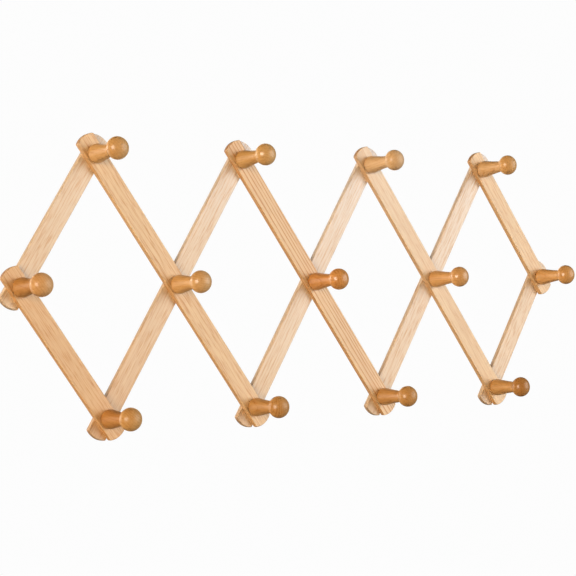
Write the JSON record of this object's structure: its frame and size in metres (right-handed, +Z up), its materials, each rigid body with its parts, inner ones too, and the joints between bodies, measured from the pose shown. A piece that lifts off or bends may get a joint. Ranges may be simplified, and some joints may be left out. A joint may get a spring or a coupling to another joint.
{
  "type": "expanding wall peg rack",
  "caption": "Expanding wall rack of crossing flat wooden slats in two layers, pinned at every crossing by a turned wooden peg with a ball end, for hanging clothes.",
  "frame": {"origin": "on the wall plane, behind the centre peg's axis", "axes": "+X to the right along the rack, +Y into the wall, +Z up; the pegs point to -Y"},
  "size_m": [0.8248, 0.0709, 0.337],
  "materials": {
    "front_slat_wood": "satin natural",
    "rear_slat_wood": "satin natural",
    "peg_wood": "satin lacquer, honey",
    "screw_steel": "zinc plated"
  },
  "bodies": {
    "centre_pivot": {"peg_middle_3": "peg_wood", "screw_middle_3": "screw_steel"},
    "rear_slat_1": {"rear_slat_1": "rear_slat_wood", "peg_top_1": "peg_wood", "screw_top_1": "screw_steel", "peg_middle_1": "peg_wood", "screw_middle_1": "screw_steel"},
    "rear_slat_2": {"rear_slat_2": "rear_slat_wood", "peg_top_2": "peg_wood", "screw_top_2": "screw_steel", "peg_middle_2": "peg_wood", "screw_middle_2": "screw_steel", "peg_bottom_1": "peg_wood", "screw_bottom_1": "screw_steel"},
    "rear_slat_3": {"rear_slat_3": "rear_slat_wood", "peg_top_3": "peg_wood", "screw_top_3": "screw_steel", "peg_bottom_2": "peg_wood", "screw_bottom_2": "screw_steel"},
    "rear_slat_4": {"rear_slat_4": "rear_slat_wood", "peg_top_4": "peg_wood", "screw_top_4": "screw_steel", "peg_middle_4": "peg_wood", "screw_middle_4": "screw_steel", "peg_bottom_3": "peg_wood", "screw_bottom_3": "screw_steel"},
    "rear_slat_5": {"rear_slat_5": "rear_slat_wood", "peg_middle_5": "peg_wood", "screw_middle_5": "screw_steel", "peg_bottom_4": "peg_wood", "screw_bottom_4": "screw_steel"},
    "front_slat_1": {"front_slat_1": "front_slat_wood"},
    "front_slat_2": {"front_slat_2": "front_slat_wood"},
    "front_slat_3": {"front_slat_3": "front_slat_wood"},
    "front_slat_4": {"front_slat_4": "front_slat_wood"},
    "front_slat_5": {"front_slat_5": "front_slat_wood"}
  },
  "joints": [
    {"name": "fold", "type": "hinge", "parent": "centre_pivot", "child": "rear_slat_3", "pos_m": [0, 0, 0], "axis": [0, -1, 0], "range_deg": [-51.5, 29.5]},
    {"name": "front_slat_3_pivot", "type": "hinge", "parent": "centre_pivot", "child": "front_slat_3", "pos_m": [0, 0, 0], "axis": [0, -1, 0], "range_deg": [-29.5, 51.5]},
    {"name": "front_slat_2_pivot", "type": "hinge", "parent": "rear_slat_3", "child": "front_slat_2", "pos_m": [-0.09786, 0, -0.14508], "axis": [0, -1, 0], "range_deg": [-59, 103]},
    {"name": "front_slat_4_pivot", "type": "hinge", "parent": "rear_slat_3", "child": "front_slat_4", "pos_m": [0.09786, 0, 0.14508], "axis": [0, -1, 0], "range_deg": [-59, 103]},
    {"name": "rear_slat_2_pivot", "type": "hinge", "parent": "front_slat_3", "child": "rear_slat_2", "pos_m": [-0.09786, 0, 0.14508], "axis": [0, -1, 0], "range_deg": [-103, 59]},
    {"name": "rear_slat_4_pivot", "type": "hinge", "parent": "front_slat_3", "child": "rear_slat_4", "pos_m": [0.09786, 0, -0.14508], "axis": [0, -1, 0], "range_deg": [-103, 59]},
    {"name": "rear_slat_1_pivot", "type": "hinge", "parent": "front_slat_2", "child": "rear_slat_1", "pos_m": [-0.29358, 0, 0.14508], "axis": [0, -1, 0], "range_deg": [-103, 59]},
    {"name": "front_slat_1_pivot", "type": "hinge", "parent": "rear_slat_2", "child": "front_slat_1", "pos_m": [-0.29358, 0, -0.14508], "axis": [0, -1, 0], "range_deg": [-59, 103]},
    {"name": "rear_slat_5_pivot", "type": "hinge", "parent": "front_slat_4", "child": "rear_slat_5", "pos_m": [0.29358, 0, -0.14508], "axis": [0, -1, 0], "range_deg": [-103, 59]},
    {"name": "front_slat_5_pivot", "type": "hinge", "parent": "rear_slat_4", "child": "front_slat_5", "pos_m": [0.29358, 0, 0.14508], "axis": [0, -1, 0], "range_deg": [-59, 103]}
  ],
  "couplings": [
    {"joint": "front_slat_3_pivot", "follows": "fold", "ratio": -1},
    {"joint": "front_slat_2_pivot", "follows": "fold", "ratio": -2},
    {"joint": "front_slat_4_pivot", "follows": "fold", "ratio": -2},
    {"joint": "rear_slat_2_pivot", "follows": "fold", "ratio": 2},
    {"joint": "rear_slat_4_pivot", "follows": "fold", "ratio": 2},
    {"joint": "rear_slat_1_pivot", "follows": "fold", "ratio": 2},
    {"joint": "front_slat_1_pivot", "follows": "fold", "ratio": -2},
    {"joint": "rear_slat_5_pivot", "follows": "fold", "ratio": 2},
    {"joint": "front_slat_5_pivot", "follows": "fold", "ratio": -2}
  ]
}
